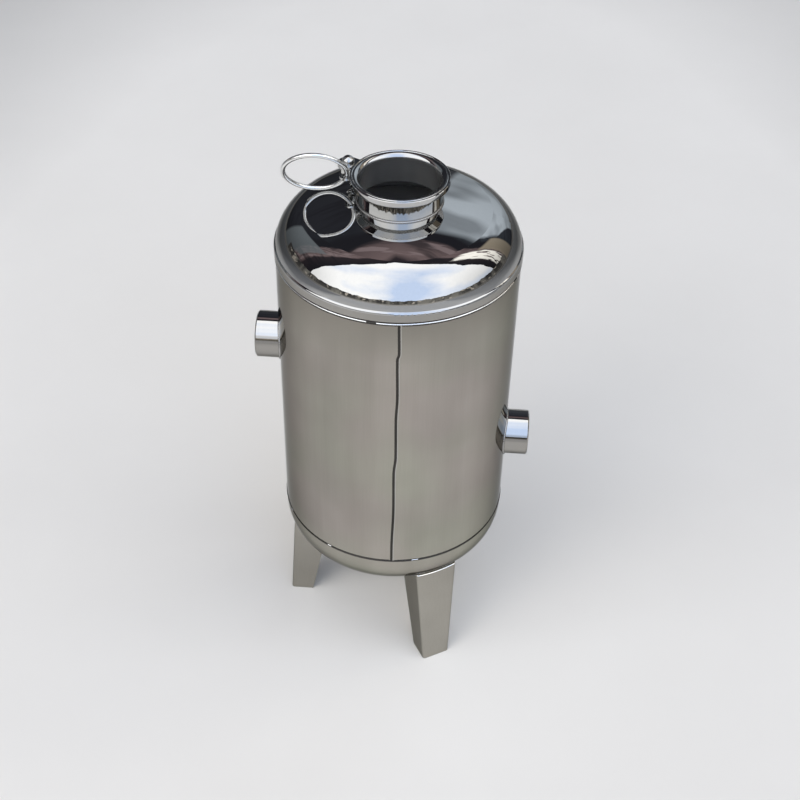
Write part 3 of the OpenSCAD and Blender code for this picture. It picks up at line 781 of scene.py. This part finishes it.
def make_pieces():
    """All the pieces that stand for CAD nodes, and the port threads, which are only here."""
    make_girth_bead("top_girth_bead", "top_girth_weld", Z_UP, below=2.7 * MM, above=3.4 * MM,
                    height=1.0 * MM, crest=0.9 * MM, light=-0.8)
    make_girth_bead("base_girth_bead", "bottom_girth_weld", Z_LOW, below=2.0 * MM, above=2.0 * MM,
                    height=0.6 * MM, crest=0.6 * MM, light=0.85)
    make_seam()
    make_round_bead("neck_bead", "neck_weld", NECK_R, head_over(NECK_R), NECK_BEAD_R, 1)
    make_round_bead("drain_bead", "drain_weld", DRAIN_R, head_under(DRAIN_R), DRAIN_BEAD_R, -1)
    for port in PORTS:
        make_port_bead(*port)
    for port in PORTS:
        make_port_thread(*port)
    for name, angle in LEG_ANGLES.items():
        make_leg(name, angle)
    make_leg_beads()


make_pieces()

# Floor
FLOOR_HALF = 30.0
FLOOR_TONES = ((0.79, 0.765, 0.725), (0.82, 0.795, 0.755))
# The far floor's colours: painted shade, darker to the left
FLOOR_FAR_LEFT = grey(0.22)
FLOOR_FAR_RIGHT = (0.32, 0.315, 0.305)
FLOOR_CLOUD = 2.2

# Painted shade that greys the floor with distance: what a metre ahead or behind counts for, and how far it
# takes
AHEAD_SHARE = 0.9
BEHIND_SHARE = 0.42
GREYING = (0.95, 2.2)
SIDE_CHANGE = (-0.6, 0.6)
# Painted shade on the near floor ahead: where it fades in and how dark it gets
FRONT_FADE = (0.8, 1.8)
FRONT_DARKNESS = 0.26


def make_floor():
    """A pale floor with painted shade that greys it with distance, sooner to the sides than ahead or behind.
    """
    mesh = bpy.data.meshes.new("floor")
    corners = [(x * FLOOR_HALF, y * FLOOR_HALF, 0) for x, y in ((-1, -1), (1, -1), (1, 1), (-1, 1))]
    mesh.from_pydata(corners, [], [(0, 1, 2, 3)])
    floor = bpy.data.objects.new("floor", mesh)
    bpy.context.scene.collection.objects.link(floor)
    mat = bpy.data.materials.new("floor_paint")
    mat.use_nodes = True
    g = Graph(mat.node_tree)
    shader = mat.node_tree.nodes["Principled BSDF"]
    cloud = g.noise(g.coords(), FLOOR_CLOUD, detail=4.0)
    near = g.mix(g.span(cloud, 0.3, 0.7), *FLOOR_TONES)
    x, y, _ = g.split(g.coords())
    before = g.math("MAXIMUM", g.times(y, -1.0), 0.0)
    behind = g.times(g.math("MAXIMUM", y, 0.0), BEHIND_SHARE)
    beside = g.math("MAXIMUM", g.minus(g.math("ABSOLUTE", x), g.times(before, AHEAD_SHARE)), 0.0)
    # Painted shade on the floor ahead, then on the far floor
    near = g.mix(g.span(before, *FRONT_FADE, 0.0, FRONT_DARKNESS), near, grey(0.0))
    far = g.mix(g.span(x, *SIDE_CHANGE), FLOOR_FAR_LEFT, FLOOR_FAR_RIGHT)
    reach = g.span(g.length(beside, behind), *GREYING)
    g.link(g.mix(reach, near, far), shader.inputs["Base Color"])
    shader.inputs["Roughness"].default_value = 0.85
    mesh.materials.append(mat)


make_floor()

# Sky colours
BROWN = (0.245, 0.180, 0.182)
DEEP_BROWN = (0.150, 0.112, 0.116)
BEAM = (0.42, 0.33, 0.34)
BLACK = (0.022, 0.022, 0.028)
SLATE = (0.050, 0.058, 0.070)
BLUE_SKY = (0.98, 1.18, 1.56)
CLOUD = grey(1.72)
CURTAIN = (0.70, 0.78, 0.86)
LEFT_WALL = (0.24, 0.27, 0.29)
WARM_WALL = (0.55, 0.47, 0.36)
LIT_ARCH = (1.65, 1.60, 1.48)
PALE_WALL = (0.66, 0.60, 0.52)
POST = (0.42, 0.40, 0.36)
FRONT_GROUND = (0.50, 0.485, 0.46)
PALE_GROUND = (0.27, 0.26, 0.245)

# The canopy's edge, as places across the sky from left to right and the edge's y plus EDGE_SHIFT,
# because a ramp holds no negative value
EDGE_SHIFT = 0.5
CANOPY_EDGE = ((0.0, 0.32), (0.19, 0.38), (0.355, 0.58), (0.48, 0.79), (0.60, 0.72), (0.80, 0.56),
               (0.95, 0.60), (1.0, 0.66))

# The canopy's bands from its edge to the back, and the shapes under the sky from the ground up
CANOPY_BANDS = ((0.00, BLACK), (0.20, (0.045, 0.036, 0.042)), (0.24, BROWN), (0.40, DEEP_BROWN),
                (0.43, BLACK), (0.50, BLACK), (0.54, SLATE), (0.75, (0.060, 0.066, 0.080)),
                (1.0, (0.10, 0.11, 0.125)))
FAR_SHAPES = ((0.12, (0.24, 0.23, 0.21)), (0.30, (0.20, 0.19, 0.17)), (0.55, (0.13, 0.125, 0.115)),
              (1.0, grey(0.07)))
FAR_TOP_Z = 0.25

# Noises that break the sky up: stretch along x, y and z, detail, and the values from none to all
BEAMS = ((5.0, 26.0, 5.0), 2.0, (0.52, 0.57))
STREAKS = ((3.0, 3.0, 22.0), 3.0, (0.50, 0.62))
FOLDS = ((4.0, 2.0, 6.0), 1.0, (0.40, 0.62, 0.95, 0.45))
BARS = ((4.0, 40.0, 4.0), 1.0, (0.36, 0.42))
POSTS = ((7.0, 7.0, 1.0), 3.0, (0.48, 0.62))
WALLS = ((13.0, 13.0, 9.0), 2.0, (0.60, 0.64))
CLOUD_SCALE = 1.6
PUFFS = 2.4
EDGE_SCALE = 7.0
EDGE_WANDER = 0.05
RIDGE_SCALE = 9.0
RIDGE_LOW = 0.13
RIDGE_RISE = 0.13

# Places in the sky, as low, high and softness in x and in y of a ray's direction
LEFT_PLACE = ((-0.92, -0.60, 0.02), (0.20, 0.62, 0.03))
ARCH_PLACE = ((0.40, 0.93, 0.05), (0.24, 0.40, 0.02))
WARM_PLACE = ((0.55, 0.90, 0.05), (0.44, 0.60, 0.02))
CURTAIN_X = (0.10, 0.60, 0.02)
CURTAIN_Y = (0.62, 0.66)
BEAM_DEPTH = (0.24, 0.40, 0.02)
BEAM_STRENGTH = 0.55
WALL_STRENGTH = 0.7

# Where one part of the sky fades into the next, in x, y or z of a ray's direction
CLEAR_LEFT = (-0.50, 0.05)
CLEAR_RIGHT = (0.25, 0.75)
CLEAR_FRONT = (-0.15, 0.20)
HAZE_TO_BLUE = (0.05, 0.85)
DARK_LEFT = (-0.25, 0.10)
DARK_DEPTH = (0.44, 0.50)
GROUND_Y = (-0.75, -0.35)
HORIZON_Z = (0.020, 0.040)
SHAPES_END_Y = 0.45


def paint_sky(g, ray, x, y):
    """Clouds with a clear blue part in front, a little right of the middle."""
    clear = g.times(g.span(x, *CLEAR_LEFT), g.span(x, *CLEAR_RIGHT, 1.0, 0.0))
    clear = g.times(clear, g.span(y, *CLEAR_FRONT, 1.0, 0.25))
    cloud = g.noise(ray, CLOUD_SCALE, detail=3.0, rough=0.45)
    puffs = g.times(g.minus(cloud, 0.5), PUFFS)
    haze = g.plus(g.times(clear, 0.9), puffs)
    return g.mix(g.span(haze, *HAZE_TO_BLUE), CLOUD, BLUE_SKY)


def canopy_depth(g, ray, x, y):
    """0 at the canopy's edge, which bows forward at both sides, 1 at the back, less before it."""
    across = g.math("MULTIPLY_ADD", x, 0.5, 0.5)
    edge = g.minus(g.ramp(across, [(place, grey(level)) for place, level in CANOPY_EDGE]), EDGE_SHIFT)
    wander = g.times(g.minus(g.noise(ray, EDGE_SCALE, detail=3.0), 0.5), EDGE_WANDER)
    return g.math("DIVIDE", g.minus(g.plus(y, wander), edge), g.minus(1.0, edge))


def paint_canopy(g, ray, x, y, depth):
    """The canopy's bands, with lit beams, dark streaks and a few walls behind them."""
    bands = g.ramp(depth, CANOPY_BANDS)
    lit = g.times(g.layer(ray, *BEAMS), g.window(depth, *BEAM_DEPTH))
    bands = g.mix(g.times(lit, BEAM_STRENGTH), bands, BEAM)
    dark = g.times(g.span(x, *DARK_LEFT, 1.0, 0.0), g.span(depth, *DARK_DEPTH))
    bands = g.mix(g.times(dark, 0.75), bands, BLACK)
    bands = g.mix(g.layer(ray, *STREAKS), bands, g.mix(0.65, bands, BLACK))
    curtain = g.times(g.window(x, *CURTAIN_X), g.span(y, *CURTAIN_Y))
    bands = g.mix(g.times(curtain, g.layer(ray, *FOLDS)), bands, CURTAIN)
    for (in_x, in_y), strength, colour in ((LEFT_PLACE, WALL_STRENGTH, LEFT_WALL),
                                           (ARCH_PLACE, g.layer(ray, *BARS), LIT_ARCH),
                                           (WARM_PLACE, WALL_STRENGTH, WARM_WALL)):
        place = g.times(g.window(x, *in_x), g.window(y, *in_y))
        bands = g.mix(g.times(place, strength), bands, colour)
    return bands


def paint_horizon(g, ray, z):
    """Distant shapes under the sky: posts and a few pale walls."""
    far = g.ramp(g.times(z, 1 / FAR_TOP_Z), FAR_SHAPES)
    far = g.mix(g.layer(ray, *POSTS), g.mix(0.5, far, BLACK), g.mix(0.6, far, POST))
    return g.mix(g.layer(ray, *WALLS), far, PALE_WALL)


def make_world():
    """Soft sky over the front, a dark canopy over the back, low shapes round the horizon."""
    world = bpy.data.worlds.new("studio")
    bpy.context.scene.world = world
    world.use_nodes = True
    world.node_tree.nodes.clear()
    g = Graph(world.node_tree)
    ray = g.add("ShaderNodeTexCoord").outputs["Generated"]
    x, y, z = g.split(ray)
    depth = canopy_depth(g, ray, x, y)
    upper = g.mix(g.math("GREATER_THAN", depth, 0.0), paint_sky(g, ray, x, y),
                  paint_canopy(g, ray, x, y, depth))
    ridge = g.plus(RIDGE_LOW, g.times(g.noise(ray, RIDGE_SCALE, detail=5.0), RIDGE_RISE))
    below = g.times(g.math("LESS_THAN", z, ridge), g.math("LESS_THAN", y, SHAPES_END_Y))
    upper = g.mix(below, upper, paint_horizon(g, ray, z))
    ground = g.mix(g.span(y, *GROUND_Y), FRONT_GROUND, PALE_GROUND)
    full = g.mix(g.span(z, *HORIZON_Z), ground, upper)
    paint = g.add("ShaderNodeBackground")
    g.link(full, paint.inputs["Color"])
    out = g.add("ShaderNodeOutputWorld")
    g.link(paint.outputs[0], out.inputs[0])


make_world()


# Lamp and camera
def make_lamp():
    """A soft warm lamp from the front left, which the steel doesn't mirror."""
    data = bpy.data.lights.new("key", "AREA")
    data.shape = "DISK"
    data.size = 1.6
    data.energy = 18.0
    data.color = (1.0, 0.93, 0.84)
    lamp = bpy.data.objects.new("key", data)
    lamp.location = (-1.4, -1.9, 2.6)
    lamp.visible_glossy = False
    aim = Vector((0, 0, 0.35)) - lamp.location
    lamp.rotation_euler = aim.to_track_quat("-Z", "Y").to_euler()
    bpy.context.scene.collection.objects.link(lamp)


make_lamp()

# The photograph's camera, solved from the tank's rims, sockets and legs: metres and degrees
CAMERA_AZIMUTH = 3.7
CAMERA_BACK = 1.3383
CAMERA_UP = 1.5138
CAMERA_TILT = 49.3776
CAMERA_ROLL = -1.0457
CAMERA_PAN = 0.6378


def make_camera():
    """The camera stands azimuth degrees round from the front, and pans a little past the axis."""
    angles = [math.radians(a) for a in (CAMERA_TILT, CAMERA_ROLL, CAMERA_PAN + CAMERA_AZIMUTH)]
    around = Matrix.Rotation(math.radians(CAMERA_AZIMUTH), 4, "Z")
    place = around @ Vector((0.0, -CAMERA_BACK, CAMERA_UP))
    data = bpy.data.cameras.new("camera")
    data.sensor_width = 36.0
    data.lens = 59.4
    data.clip_end = 100.0
    camera = bpy.data.objects.new("camera", data)
    camera.matrix_world = Matrix.Translation(place) @ Euler(angles).to_matrix().to_4x4()
    bpy.context.scene.collection.objects.link(camera)
    bpy.context.scene.camera = camera


make_camera()
bpy.context.scene.view_settings.view_transform = "Standard"
